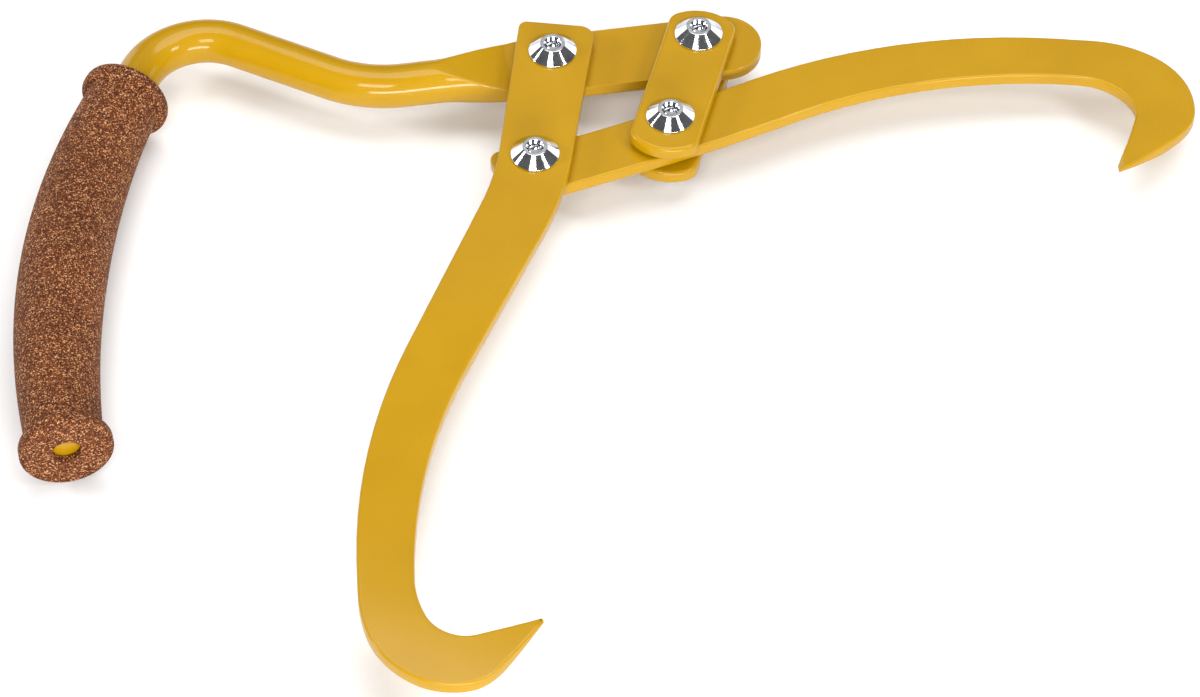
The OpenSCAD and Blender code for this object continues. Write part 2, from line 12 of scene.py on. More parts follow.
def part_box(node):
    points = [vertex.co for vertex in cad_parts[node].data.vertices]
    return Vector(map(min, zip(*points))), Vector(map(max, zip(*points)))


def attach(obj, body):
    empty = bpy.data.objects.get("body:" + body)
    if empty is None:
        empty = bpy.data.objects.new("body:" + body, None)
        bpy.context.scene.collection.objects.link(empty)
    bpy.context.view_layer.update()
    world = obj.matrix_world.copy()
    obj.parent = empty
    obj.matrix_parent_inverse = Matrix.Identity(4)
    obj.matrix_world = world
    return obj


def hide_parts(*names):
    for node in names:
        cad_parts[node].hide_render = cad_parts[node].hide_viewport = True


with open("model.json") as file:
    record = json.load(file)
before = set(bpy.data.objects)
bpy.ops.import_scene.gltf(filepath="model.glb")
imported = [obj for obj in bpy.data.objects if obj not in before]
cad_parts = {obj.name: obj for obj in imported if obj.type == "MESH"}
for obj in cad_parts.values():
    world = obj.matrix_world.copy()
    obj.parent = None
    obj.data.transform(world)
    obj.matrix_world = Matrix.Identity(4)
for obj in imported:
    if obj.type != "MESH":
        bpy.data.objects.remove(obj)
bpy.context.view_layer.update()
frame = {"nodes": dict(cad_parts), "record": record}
MM = 0.001

# Camera, at the photograph's angle: the point that it looks at and how far off it is, its way
# over the ground, how steeply it looks down, and the width of its view
LOOK_AT = Vector((-58.45, -136.02, 18.9)) * MM
DISTANCE = 1699.7 * MM
HEADING = Vector((0.1592, 0.98725, 0))
ELEVATION = math.radians(49.5)
VIEW_ANGLE = math.radians(14.0)

cam_data = bpy.data.cameras.new("camera")
cam_data.sensor_fit = "HORIZONTAL"
cam_data.angle = VIEW_ANGLE
cam_data.clip_start = 0.05
cam_data.clip_end = 50
camera = bpy.data.objects.new("camera", cam_data)
bpy.context.scene.collection.objects.link(camera)
view = HEADING * math.cos(ELEVATION) - Vector((0, 0, math.sin(ELEVATION)))
camera.location = LOOK_AT - view * DISTANCE
camera.rotation_euler = view.to_track_quat("-Z", "Y").to_euler()
bpy.context.scene.camera = camera
bpy.context.scene.view_settings.view_transform = "Standard"


# Materials
def linear(rgb):
    """A screen colour as the renderer takes it."""
    return [c / 12.92 if c <= 0.04045 else ((c + 0.055) / 1.055) ** 2.4 for c in rgb] + [1]


class Nodes:
    """A material's node tree, with short ways to add and join nodes."""

    def __init__(self, name):
        self.material = bpy.data.materials.new(name)
        self.material.use_nodes = True
        self.tree = self.material.node_tree
        self.shader = self.tree.nodes["Principled BSDF"]
        self.place = self.add("ShaderNodeTexCoord").outputs["Object"]

    def add(self, kind, inputs=None, **props):
        """A new node, with its inputs joined to sockets or set to values."""
        node = self.tree.nodes.new(kind)
        for key, value in props.items():
            setattr(node, key, value)
        for key, value in (inputs or {}).items():
            if isinstance(value, bpy.types.NodeSocket):
                self.tree.links.new(value, node.inputs[key])
            else:
                node.inputs[key].default_value = value
        return node

    def to(self, key, socket):
        """Joins a socket to the shader."""
        self.tree.links.new(socket, self.shader.inputs[key])

    def set(self, **values):
        """Sets constants on the shader's own sockets."""
        for key, value in values.items():
            self.shader.inputs[key.replace("_", " ")].default_value = value

    def noise(self, size, detail=3.0):
        """Noise whose features are about size millimetres across."""
        return self.add("ShaderNodeTexNoise", {
            "Vector": self.place, "Scale": 1 / (size * MM), "Detail": detail}).outputs["Fac"]

    def ramp(self, fac, stops):
        """A colour that runs through the stops (place, colour)."""
        node = self.add("ShaderNodeValToRGB", {"Fac": fac})
        ramp = node.color_ramp
        while len(ramp.elements) < len(stops):
            ramp.elements.new(0.5)
        for element, (place, color) in zip(ramp.elements, stops):
            element.position = place
            element.color = color
        return node.outputs["Color"]

    def grey(self, fac, low, high, start=0.3, end=0.7):
        """A number that runs from low to high as fac goes from start to end."""
        return self.add("ShaderNodeMapRange", {
            "Value": fac, "From Min": start, "From Max": end, "To Min": low,
            "To Max": high}).outputs["Result"]

    def tinted(self, color, shade):
        """A colour multiplied by a number. The mix node's colour sockets go by their index."""
        mix_fac, mix_a, mix_b, mix_out = 0, 6, 7, 2
        grey = self.add("ShaderNodeCombineColor", {
            "Red": shade, "Green": shade, "Blue": shade}).outputs["Color"]
        node = self.add("ShaderNodeMix", {mix_fac: 1.0}, data_type="RGBA",
            blend_type="MULTIPLY")
        self.tree.links.new(color, node.inputs[mix_a])
        self.tree.links.new(grey, node.inputs[mix_b])
        return node.outputs[mix_out]

    def bump(self, height, strength, distance, normal=None):
        """The surface's normal, tilted by a height of up to a distance in millimetres."""
        inputs = {"Height": height, "Strength": strength, "Distance": distance * MM}
        if normal:
            inputs["Normal"] = normal
        return self.add("ShaderNodeBump", inputs).outputs["Normal"]


def yellow_paint():
    """Glossy powder paint with faint clouds, a fine grain and some orange peel."""
    n = Nodes("yellow_paint")
    n.set(Specular_IOR_Level=0.12, Coat_Weight=0.45, Coat_Roughness=0.08)
    clouds = n.ramp(n.noise(35, 4.0), [
        (0.30, linear((0.683, 0.515, 0.000))),
        (0.50, linear((0.700, 0.530, 0.000))),
        (0.72, linear((0.718, 0.547, 0.015)))])
    n.to("Base Color", n.tinted(clouds, n.grey(n.noise(0.6, 2.0), 0.97, 1.02)))
    n.to("Roughness", n.grey(n.noise(4, 4.0), 0.36, 0.48))
    peel = n.bump(n.noise(1.6, 2.0), 0.14, 0.1)
    n.to("Normal", n.bump(n.noise(20), 0.10, 0.5, peel))
    return n.material


def granulate():
    """Pressed granulate: chips of several browns with dark seams between them."""
    chips_per_m, bends_per_m, bend = 2500.0, 1500.0, (0.5 * MM,) * 3
    n = Nodes("grip_granulate")
    n.set(Specular_IOR_Level=0.2)
    waves = n.add("ShaderNodeTexNoise", {
        "Vector": n.place, "Scale": bends_per_m, "Detail": 2.0}).outputs["Color"]
    shift = n.add("ShaderNodeVectorMath", {0: waves, 1: bend}, operation="MULTIPLY").outputs[0]
    place = n.add("ShaderNodeVectorMath", {0: n.place, 1: shift}, operation="ADD").outputs[0]
    grains = {"Vector": place, "Scale": chips_per_m}
    cells = n.add("ShaderNodeTexVoronoi", grains, feature="F1").outputs["Color"]
    chip = n.add("ShaderNodeSeparateColor", {"Color": cells}).outputs["Red"]
    seams = n.add("ShaderNodeTexVoronoi", grains,
        feature="DISTANCE_TO_EDGE").outputs["Distance"]
    color = n.ramp(chip, [
        (0.00, linear((0.17, 0.07, 0.02))), (0.25, linear((0.32, 0.15, 0.06))),
        (0.55, linear((0.45, 0.23, 0.11))), (0.80, linear((0.59, 0.34, 0.19))),
        (0.95, linear((0.88, 0.66, 0.46)))])
    color = n.tinted(color, n.grey(n.noise(30), 0.88, 1.08, 0.35, 0.65))
    n.to("Base Color", n.tinted(color, n.grey(seams, 0.55, 1.0, 0.0, 0.16)))
    n.to("Roughness", n.grey(chip, 0.70, 0.92, 0, 1))
    rough = n.bump(n.grey(seams, 0.0, 1.0, 0.0, 0.3), 0.5, 0.2)
    n.to("Normal", n.bump(n.noise(4, 4.0), 0.3, 1.0, rough))
    return n.material


def metal(name, rgb, smooth, worn, scratch):
    """Bare or plated metal: roughness from smooth to worn, and how strong its scratches are."""
    dull = [c * 0.86 for c in rgb]
    n = Nodes(name)
    n.set(Metallic=1.0)
    n.to("Base Color", n.ramp(n.noise(4, 4.0), [(0.3, linear(dull)), (0.62, linear(rgb))]))
    n.to("Roughness", n.grey(n.noise(1.8, 4.0), smooth, worn))
    n.to("Normal", n.bump(n.noise(0.9), scratch, 0.1))
    return n.material


def nylon():
    """The white plastic of the lock nuts' rings."""
    n = Nodes("nylon")
    n.set(Specular_IOR_Level=0.5, Subsurface_Weight=0.1)
    n.to("Base Color", n.ramp(n.noise(3), [
        (0.3, linear((0.80, 0.81, 0.80))), (0.7, linear((0.90, 0.90, 0.88)))]))
    n.to("Roughness", n.grey(n.noise(1), 0.45, 0.6))
    n.to("Normal", n.bump(n.noise(0.8, 2.0), 0.2, 0.1))
    return n.material


MATERIALS = {
    "yellow_paint": yellow_paint(),
    "grip_granulate": granulate(),
    "screw_chrome": metal("screw_chrome", (0.90, 0.91, 0.93), 0.04, 0.09, 0.04),
    "zinc_steel": metal("zinc_steel", (0.74, 0.75, 0.77), 0.22, 0.36, 0.2),
    "shim_steel": metal("shim_steel", (0.42, 0.41, 0.38), 0.35, 0.5, 0.25),
    "nylon": nylon(),
}
SLOTS = {s["node"]: s["material_slot"] for s in frame["record"]["subparts"]}
BODIES = {node: body for body, nodes in frame["record"]["behaviour"]["bodies"].items()
    for node in nodes}


# Pieces
def piece(node, points, faces, normals):
    """A piece that looks like a CAD node and stands for it."""
    mesh = bpy.data.meshes.new(node + "_look")
    mesh.from_pydata([tuple(np.asarray(p, float) * MM) for p in points], [], faces)
    mesh.validate()
    mesh.polygons.foreach_set("use_smooth", [True] * len(mesh.polygons))
    mesh.normals_split_custom_set_from_vertices([tuple(n) for n in normals])
    dress(node, mesh)


def piece_of(node, bm, sharp_angle=35):
    """The same from a mesh under construction, smooth but for its sharp corners."""
    bmesh.ops.recalc_face_normals(bm, faces=bm.faces)
    limit = math.radians(sharp_angle)
    for edge in bm.edges:
        if len(edge.link_faces) == 2 and edge.calc_face_angle() > limit:
            edge.smooth = False
    for face in bm.faces:
        face.smooth = True
    bmesh.ops.scale(bm, vec=(MM, MM, MM), verts=bm.verts)
    mesh = bpy.data.meshes.new(node + "_look")
    bm.to_mesh(mesh)
    bm.free()
    dress(node, mesh)


def dress(node, mesh):
    """Puts a finished mesh in the scene, in place of its CAD node."""
    mesh.materials.append(MATERIALS[SLOTS[node]])
    obj = bpy.data.objects.new(node + "_look", mesh)
    bpy.context.scene.collection.objects.link(obj)
    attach(obj, BODIES[node])
    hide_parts(node)


# Turned pieces: a profile of distance from the axis, and height along it
SIDES = 96
TURNS = np.arange(SIDES) * 2 * math.pi / SIDES
CORNER_STEPS = 4
# The power that joins two forms with hardly any rounding between them
SHARP = 60


def outline(corners, closed=True):
    """Points of a profile whose corners (a, b, radius) are rounded, each with the unit normal on
    the right of the way that the profile runs."""
    count = len(corners)
    spots = [np.array(c[:2], float) for c in corners]
    out = []
    for i, (a, b, radius) in enumerate(corners):
        before = spots[i] - spots[i - 1]
        after = spots[(i + 1) % count] - spots[i]
        if not closed and i in (0, count - 1):
            before = after = after if i == 0 else before
        before, after = before / np.linalg.norm(before), after / np.linalg.norm(after)
        turn = math.atan2(before[0] * after[1] - before[1] * after[0], before @ after)
        if radius == 0 or abs(turn) < 1e-6:
            way = (before + after) / np.linalg.norm(before + after)
            out.append((a, b, way[1], -way[0]))
            continue
        start = spots[i] - before * radius * math.tan(abs(turn) / 2)
        side = math.copysign(1, turn)
        middle = start + np.array([-before[1], before[0]]) * radius * side
        for k in range(CORNER_STEPS + 1):
            c, s = math.cos(turn * k / CORNER_STEPS), math.sin(turn * k / CORNER_STEPS)
            way = np.array([before[0] * c - before[1] * s, before[0] * s + before[1] * c])
            normal = np.array([way[1], -way[0]])
            out.append((*(middle + normal * radius * side), *normal))
    return out


def upright(x, y, z=0.0, down=False):
    """The frame at a height on a vertical axis: a middle and three directions."""
    s = -1 if down else 1
    return lambda b: [np.array(v, float) for v in
        ((x, y, z + s * b), (1, 0, 0), (0, s, 0), (0, 0, s))]


def turned(profile, at):
    """Rings of points and of normals for a profile round an axis."""
    points, normals = [], []
    for a, b, na, nb in profile:
        middle, u, v, w = at(b)
        out = np.cos(TURNS)[:, None] * u + np.sin(TURNS)[:, None] * v
        points.append(middle + a * out)
        normals.append(na * out + nb * w)
    return np.array(points), np.array(normals)


def widened(ring, x, y, radius):
    """A ring of radius 1 round an upright axis, taken out to a radius at each of its points."""
    wide = ring.copy()
    wide[:, :2] = (ring[:, :2] - (x, y)) * radius[:, None] + (x, y)
    return wide


def ring_normals(points, closed):
    """Normals of rings of points, from the points next to each."""
    def unit(v):
        return v / np.maximum(np.linalg.norm(v, axis=-1), 1e-9)[..., None]
    step = unit(np.roll(points, -1, 0) - points)
    if not closed:
        step[-1] = step[-2]
    along = step + np.roll(step, 1, 0)
    if not closed:
        along[0] = step[0]
    round_it = unit(np.roll(points, -1, 1) - points) + unit(points - np.roll(points, 1, 1))
    return unit(np.cross(round_it, along))


def skin(node, points, normals, closed):
    """A piece from rings: joined end to end, or with both ends filled from their middles."""
    rings, sides = points.shape[:2]
    faces = []
    for i in range(rings if closed else rings - 1):
        j = (i + 1) % rings
        for k in range(sides):
            m = (k + 1) % sides
            faces.append((i * sides + k, i * sides + m, j * sides + m, j * sides + k))
    flat, flat_n = list(points.reshape(-1, 3)), list(normals.reshape(-1, 3))
    if not closed:
        for ring, sign in ((0, -1), (rings - 1, 1)):
            ids = [ring * sides + k for k in range(sides)]
            normal = np.cross(points[ring][sides // 4] - points[ring][0],
                points[ring][sides // 2] - points[ring][0])
            flat.append(points[ring].mean(0))
            flat_n.append(sign * normal / np.linalg.norm(normal))
            for a, b in zip(ids, ids[1:] + ids[:1]):
                faces.append((a, b, len(flat) - 1)[::sign])
    piece(node, flat, faces, flat_n)


# Plates, on the outlines of their CAD nodes. A face is level if its normal's upward part is
# above LEVEL, and a wall if it is below WALL.
LEVEL, WALL = 0.999, 0.02


def cad_mesh(node):
    """Points of a CAD node in millimetres, and its faces with points in one place joined."""
    mesh = frame["nodes"][node].data
    points = np.array([v.co for v in mesh.vertices]) / MM
    first = {}
    joined = [first.setdefault(tuple(np.round(p, 4)), i) for i, p in enumerate(points)]
    faces = [([joined[i] for i in f.vertices], np.array(f.normal), f.area / MM ** 2)
        for f in mesh.polygons]
    return points, faces


def flat_loops(points, faces, z):
    """Outline and holes of a plate's flat face at a height, counter-clockwise, largest first."""
    edges = set()
    for ids, normal, area in faces:
        if abs(normal[2]) > LEVEL and all(abs(points[i][2] - z) < 1e-3 for i in ids):
            for a, b in zip(ids, ids[1:] + ids[:1]):
                if (b, a) in edges:
                    edges.remove((b, a))
                else:
                    edges.add((a, b))
    after = dict(edges)
    loops = []
    while after:
        here = next(iter(after))
        loop = []
        while here in after:
            loop.append(points[here][:2])
            here = after.pop(here)
        loops.append(np.array(loop))

    def area_of(loop):
        nxt = np.roll(loop, -1, axis=0)
        return 0.5 * np.sum(loop[:, 0] * nxt[:, 1] - loop[:, 1] * nxt[:, 0])
    loops = [loop if area_of(loop) > 0 else loop[::-1] for loop in loops]
    return sorted(loops, key=area_of, reverse=True)


def ground_flats(points, faces, least_slant=0.1, least_area=4.0):
    """Corners and normal of each slanted flat that was ground on a plate."""
    groups = {}
    for ids, normal, area in faces:
        if least_slant < abs(normal[2]) < LEVEL:
            group = groups.setdefault(tuple(np.round(normal, 2)), [0.0, [], normal])
            group[0] += area
            group[1] += [points[i] for i in ids]
    return [(np.array(spots), normal) for area, spots, normal in groups.values()
        if area > least_area]


def corner_restored(loop, points, faces, near=0.01, widest=8.0, past=0.1):
    """The outline with what an upper grinding took off its flat face put back, from the foot of
    the plate's walls, and its end moved out a little past the wall."""
    walls = {i for ids, normal, area in faces if abs(normal[2]) < WALL for i in ids}
    spots = np.array(sorted({tuple(np.round(points[i][:2], 4)) for i in walls}))
    high = points[:, 2].max()
    for flat, normal in ground_flats(points, faces):
        if normal[2] < 0:
            continue
        off = np.array([(np.append(p, high) - flat[0]) @ normal for p in loop])
        for i in range(len(loop)):
            j = (i + 1) % len(loop)
            if max(abs(off[i]), abs(off[j])) > near:
                continue
            p = loop[i]
            length = np.linalg.norm(loop[j] - p)
            way = (loop[j] - p) / length
            along = (spots - p) @ way
            out = (spots - p) @ np.array([way[1], -way[0]])
            beside = (along > -0.5) & (along < length + 1.5)
            left = spots[(out > 2 * near) & (out < widest) & beside]
            if len(left) < 2:
                continue
            wall = left[np.argmin(np.linalg.norm(left - p, axis=1))]
            reach = (wall - p) / np.linalg.norm(wall - p)
            end = left[np.argmax((left - wall) @ reach)] + past * reach
            corner = wall + reach * ((end - wall) @ reach)
            return np.vstack([loop[:i + 1], wall, corner, end, loop[i + 1:]])
    return loop


def eased(loop, half=7.0, least=18.0, most=45.0, long_side=8.0, fold=150.0, count=12):
    """The loop without folds, and with the blunt corners (least to most degrees) of its long
    sides rounded off, each over a length of half before it and half after it."""
    def measured():
        back = loop - np.roll(loop, 1, axis=0)
        fore = np.roll(back, -1, axis=0)
        angle = np.arctan2(back[:, 0] * fore[:, 1] - back[:, 1] * fore[:, 0],
            (back * fore).sum(1))
        return np.degrees(np.abs(angle)), np.maximum(
            np.linalg.norm(back, axis=1), np.linalg.norm(fore, axis=1))

    angle, side = measured()
    while angle.max() > fold:
        loop = np.delete(loop, int(np.argmax(angle)), axis=0)
        angle, side = measured()
    for corner in loop[(angle > least) & (angle < most) & (side > long_side)]:
        loop = np.roll(loop, -int(np.argmax(np.linalg.norm(loop - corner, axis=1))), axis=0)
        path = np.append(0, np.cumsum(np.linalg.norm(np.diff(loop, axis=0), axis=1)))
        middle = path[np.argmin(np.linalg.norm(loop - corner, axis=1))]
        ends = []
        for s in (middle - half, middle + half):
            i = int(np.searchsorted(path, s)) - 1
            way = (loop[i + 1] - loop[i]) / (path[i + 1] - path[i])
            ends.append((i, loop[i] + way * (s - path[i]), way))
        (i, p, p_way), (j, q, q_way) = ends
        pull = np.linalg.norm(q - p)
        t = np.linspace(0, 1, count)[:, None]
        curve = ((2 * t ** 3 - 3 * t ** 2 + 1) * p + (t ** 3 - 2 * t ** 2 + t) * pull * p_way
            + (3 * t ** 2 - 2 * t ** 3) * q + (t ** 3 - t ** 2) * pull * q_way)
        loop = np.vstack([loop[:i + 1], curve, loop[j + 1:]])
    return loop


def refined(loop, step=4.0):
    """The loop with its long sides split, so that shading stays even."""
    out = []
    for p, q in zip(loop, np.roll(loop, -1, axis=0)):
        n = max(1, int(np.ceil(np.linalg.norm(q - p) / step)))
        out += [p + (q - p) * k / n for k in range(n)]
    return np.array(out)


def inward(loop):
    """Unit normals to the inside of a counter-clockwise loop, and how much longer than the
    inset a step along each is, up to twice, to keep the sides' distance even."""
    back = loop - np.roll(loop, 1, axis=0)
    fore = np.roll(loop, -1, axis=0) - loop
    back /= np.linalg.norm(back, axis=1)[:, None]
    fore /= np.linalg.norm(fore, axis=1)[:, None]
    way = back + fore
    way /= np.linalg.norm(way, axis=1)[:, None]
    return np.stack([-way[:, 1], way[:, 0]], 1), 1 / np.clip((way * fore).sum(1), 0.5, 1)


def depth_inside(loop, n, open_end=1e3):
    """How far it is from each point of a loop straight across to the loop's far side."""
    a, e = loop, np.roll(loop, -1, axis=0) - loop
    out = np.full(len(loop), open_end)
    for i, (p, d) in enumerate(zip(loop, n)):
        cross = d[0] * e[:, 1] - d[1] * e[:, 0]
        cross[np.abs(cross) < 1e-9] = 1e-9
        w = a - p
        t = (w[:, 0] * e[:, 1] - w[:, 1] * e[:, 0]) / cross
        s = (w[:, 0] * d[1] - w[:, 1] * d[0]) / cross
        hit = t[(s >= -1e-6) & (s <= 1 + 1e-6) & (t > 1e-2)]
        if len(hit):
            out[i] = hit.min()
    return out


def carved(bm, tool):
    """Takes one mesh under construction out of another."""
    objects = []
    for part in (bm, tool):
        mesh = bpy.data.meshes.new("carving")
        part.to_mesh(mesh)
        objects.append(bpy.data.objects.new("carving", mesh))
        bpy.context.scene.collection.objects.link(objects[-1])
    tool.free()
    cut = objects[0].modifiers.new("cut", "BOOLEAN")
    cut.operation, cut.solver, cut.object = "DIFFERENCE", "EXACT", objects[1]
    seen = objects[0].evaluated_get(bpy.context.evaluated_depsgraph_get())
    result = seen.to_mesh()
    bm.clear()
    bm.from_mesh(result)
    seen.to_mesh_clear()
    for obj in objects:
        mesh = obj.data
        bpy.data.objects.remove(obj)
        bpy.data.meshes.remove(mesh)


def grind(bm, flat, normal, margin=3.0, depth=8.0):
    """Grinds the mesh under construction down to a flat, and keeps the edge round it sharp."""
    across = np.cross(normal, (0, 0, 1.0))
    across /= np.linalg.norm(across)
    along = np.cross(normal, across)
    u, v = flat @ across, flat @ along
    base = flat[0] @ normal
    tool = bmesh.new()
    corners = [tool.verts.new(across * a + along * b + normal * (base + c))
        for a in (u.min() - margin, u.max() + margin)
        for b in (v.min() - margin, v.max() + margin) for c in (0.0, depth)]
    bmesh.ops.convex_hull(tool, input=corners)
    bmesh.ops.recalc_face_normals(tool, faces=tool.faces)
    bmesh.ops.recalc_face_normals(bm, faces=bm.faces)
    carved(bm, tool)
    bm.normal_update()
    for edge in bm.edges:
        ground = [abs(abs(f.normal @ Vector(normal)) - 1) < 1e-4
            and abs(f.calc_center_median() @ Vector(normal) - base) < 1e-2
            for f in edge.link_faces]
        if any(ground) and not all(ground):
            edge.smooth = False


def plate(node, top_round, low_round, hole_round=0.4, land=0.3, share=0.3, steps=6):
    """A plate with rounded edges, ground where its CAD node is. The land is a narrow strip of
    the flat face, and no rounding or land takes more than its share of the plate's width."""
    points, faces = cad_mesh(node)
    low, high = (c.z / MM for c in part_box(node))
    loops = flat_loops(points, faces, high)
    loops[0] = corner_restored(loops[0], points, faces)
    if node.endswith("jaw"):
        loops[0] = eased(loops[0])
    bm = bmesh.new()
    rims = {"low": [], "high": []}
    for index, loop in enumerate(loops):
        loop = refined(loop) if index == 0 else loop
        n, miter = inward(loop)
        limit = share * depth_inside(loop, n)
        if index:
            n, limit = -n, np.full(len(loop), hole_round)
        r_low, r_top = np.minimum(low_round, limit), np.minimum(top_round, limit)
        strip = np.minimum(land, limit)
        turns = [math.pi / 2 * k / steps for k in range(steps + 1)]
        chain = [(r_low + strip, low + 0 * r_low)]
        chain += [(r_low * (1 - math.sin(a)), low + r_low * (1 - math.cos(a))) for a in turns]
        chain += [(r_top * (1 - math.cos(a)), high - r_top * (1 - math.sin(a))) for a in turns]
        chain += [(r_top + strip, high + 0 * r_top)]
        rings = []
        for inset, z in chain:
            spots = loop + n * (inset * miter)[:, None]
            rings.append([bm.verts.new((x, y, h)) for (x, y), h in zip(spots, z)])
        for under, over in zip(rings, rings[1:]):
            for i in range(len(loop)):
                j = (i + 1) % len(loop)
                bm.faces.new((under[i], under[j], over[j], over[i]))
        rims["low"].append(rings[0])
        rims["high"].append(rings[-1])
    for rim in rims.values():
        verts = [v for ring in rim for v in ring]
        for tri in tessellate_polygon([[v.co.xy.to_3d() for v in ring] for ring in rim]):
            bm.faces.new([verts[i] for i in tri])
    for flat, normal in ground_flats(points, faces):
        grind(bm, flat, normal)
    bmesh.ops.remove_doubles(bm, verts=bm.verts, dist=2e-3)
    bmesh.ops.dissolve_degenerate(bm, dist=1e-3, edges=bm.edges)
    piece_of(node, bm)


for kind, top_round, low_round in (("jaw", 0.9, 0.6), ("link", 1.6, 0.8)):
    for side in ("front", "rear"):
        plate(f"{side}_{kind}", top_round, low_round)

# Handle bar: a blade from the nose to HEEL_X, its change to a round rod at ROUND_X, over which
# its two flats spread apart from FLAT_X on, and the rod's run to its end in the grip
BLADE_W, PLATE_T, ROD_R = 28.0, 5.0, 8.0
NOSE_X, HEEL_X, FLAT_X, ROUND_X = 9.2, -56.0, -70.0, -97.0
BAR_HOLES_X, BAR_HOLE_D = (-54.0, 0.0), 8.0
BEND_1_R, BEND_1, BEND_2_R, BEND_2 = 46.5, 34.2, 25.3, 95.1
BEFORE_BENDS, BETWEEN_BENDS, BEFORE_GRIP = 11.9, 38.5, 10.1
GRIP_L, GRIP_BOW_R, GRIP_WALL, CROWN_H = 172.0, 302.0, 3.0, 1.1
# The grip's turn to the left in degrees, and the length of the rod in it
BOW = math.degrees(GRIP_L / GRIP_BOW_R)
END_L = GRIP_L - GRIP_WALL - CROWN_H
# The rod's way from ROUND_X to the grip: lengths, each with its turn to the left
RUN = [
    (BEFORE_BENDS, 0.0),
    (BEND_1_R * math.radians(BEND_1), -BEND_1),
    (BETWEEN_BENDS, 0.0),
    (BEND_2_R * math.radians(BEND_2), BEND_2),
    (BEFORE_GRIP, 0.0),
]
MID_Z = (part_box("handle_bar")[0].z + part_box("handle_bar")[1].z) / 2 / MM
# Gap between pieces that fit closely
FIT = 0.05


def ahead(pose, length, turn):
    """The pose (x, y, heading in degrees) after a length with a turn to the left."""
    x, y, h = pose
    if turn == 0:
        return (x + length * math.cos(math.radians(h)), y + length * math.sin(math.radians(h)), h)
    r, g = length / math.radians(turn), h + turn
    return (x + r * (math.sin(math.radians(g)) - math.sin(math.radians(h))),
        y - r * (math.cos(math.radians(g)) - math.cos(math.radians(h))), g)


def rod_run(start, step=2.0, end_steps=60):
    """Poses along the rod's middle from a pose to the rod's end, and the grip's first pose."""
    poses, here = [], start
    for length, turn in RUN:
        count = max(3, int(length / step))
        poses += [ahead(here, length * k / count, turn * k / count) for k in range(count)]
        here = ahead(here, length, turn)
    poses += [ahead(here, END_L * k / end_steps, BOW * END_L / GRIP_L * k / end_steps)
        for k in range(end_steps + 1)]
    return poses, here


ROD_POSES, GRIP_START = rod_run((ROUND_X, 0.0, 180.0))


def across(pose):
    """Middle, left, up and way at a pose on the bar's middle."""
    h = math.radians(pose[2])
    return [np.array(v) for v in ((pose[0], pose[1], MID_Z), (-math.sin(h), math.cos(h), 0.0),
        (0.0, 0.0, 1.0), (math.cos(h), math.sin(h), 0.0))]


def section(x, count=160, clear_from=0.9, clearing=80):
    """Section of the bar at x: a circle, cut off by two flats and by the blade's two sides. The
    circle leaves the blade's corners well behind in the last of its change to the blade."""
    f = min(max((x - ROUND_X) / (HEEL_X - ROUND_X), 0), 1)
    end_r = math.hypot(BLADE_W, PLATE_T) / 2
    r = ROD_R + (end_r - ROD_R) * f * f * (3 - 2 * f) + clearing * max(f - clear_from, 0)
    h = max(PLATE_T / 2, PLATE_T / 2 + (FLAT_X - x) * (ROD_R - PLATE_T / 2) / (FLAT_X - ROUND_X))
    w = BLADE_W / 2
    squeeze = min(h, r) / min(w, r)
    phi = np.arange(count) * 2 * math.pi / count
    angle = np.arctan2(squeeze * np.sin(phi), np.cos(phi))
    reach = (r ** -SHARP + (np.abs(np.sin(angle)) / h) ** SHARP
        + (np.abs(np.cos(angle)) / w) ** SHARP) ** (-1 / SHARP)
    return reach * np.cos(angle), reach * np.sin(angle)


def bar_ring(pose, x):
    """Points of the bar's section at x, set at a pose."""
    middle, left, up = across(pose)[:3]
    return [middle + a * left + b * up for a, b in zip(*section(x))]


def handle_bar(blade_step=4.0, change_step=1.0, crown_steps=9, nose_steps=48, rod_x=-1e3):
    """The bar as one surface. At rod_x nothing of the blade's flats is left."""
    bm = bmesh.new()
    blade_x = list(np.arange(NOSE_X, HEEL_X, -blade_step))
    blade_x += list(np.arange(HEEL_X, ROUND_X, -change_step))
    rings = [bar_ring((x, 0.0, 180.0), x) for x in blade_x]
    rings += [bar_ring(pose, min(pose[0], ROUND_X)) for pose in ROD_POSES]
    middle, left, up, way = across(ROD_POSES[-1])
    for k in range(1, crown_steps):
        t = math.pi / 2 * k / crown_steps
        rings.append([middle + way * CROWN_H * math.sin(t) + math.cos(t) * (a * left + b * up)
            for a, b in zip(*section(rod_x))])
    made = [[bm.verts.new(p) for p in ring] for ring in rings]
    count = len(made[0])
    for near, far in zip(made, made[1:]):
        for i in range(count):
            j = (i + 1) % count
            bm.faces.new((near[i], near[j], far[j], far[i]))
    bm.faces.new(made[-1])
    # the nose is half of the blade's section, swept round
    a, b = section(NOSE_X)
    half = range(-count // 4, count // 4 + 1)
    swept = [[bm.verts.new((NOSE_X + a[i] * math.sin(t), -a[i] * math.cos(t), MID_Z + b[i]))
        for i in half] for t in (math.pi * k / nose_steps for k in range(nose_steps + 1))]
    for near, far in zip(swept, swept[1:]):
        for i in range(len(half) - 1):
            bm.faces.new((near[i], near[i + 1], far[i + 1], far[i]))
    bmesh.ops.remove_doubles(bm, verts=bm.verts, dist=1e-3)
    bmesh.ops.dissolve_degenerate(bm, dist=1e-4, edges=bm.edges)
    bmesh.ops.recalc_face_normals(bm, faces=bm.faces)
    for x in BAR_HOLES_X:
        drill(bm, x, 0.0, BAR_HOLE_D)
    piece_of("handle_bar", bm)


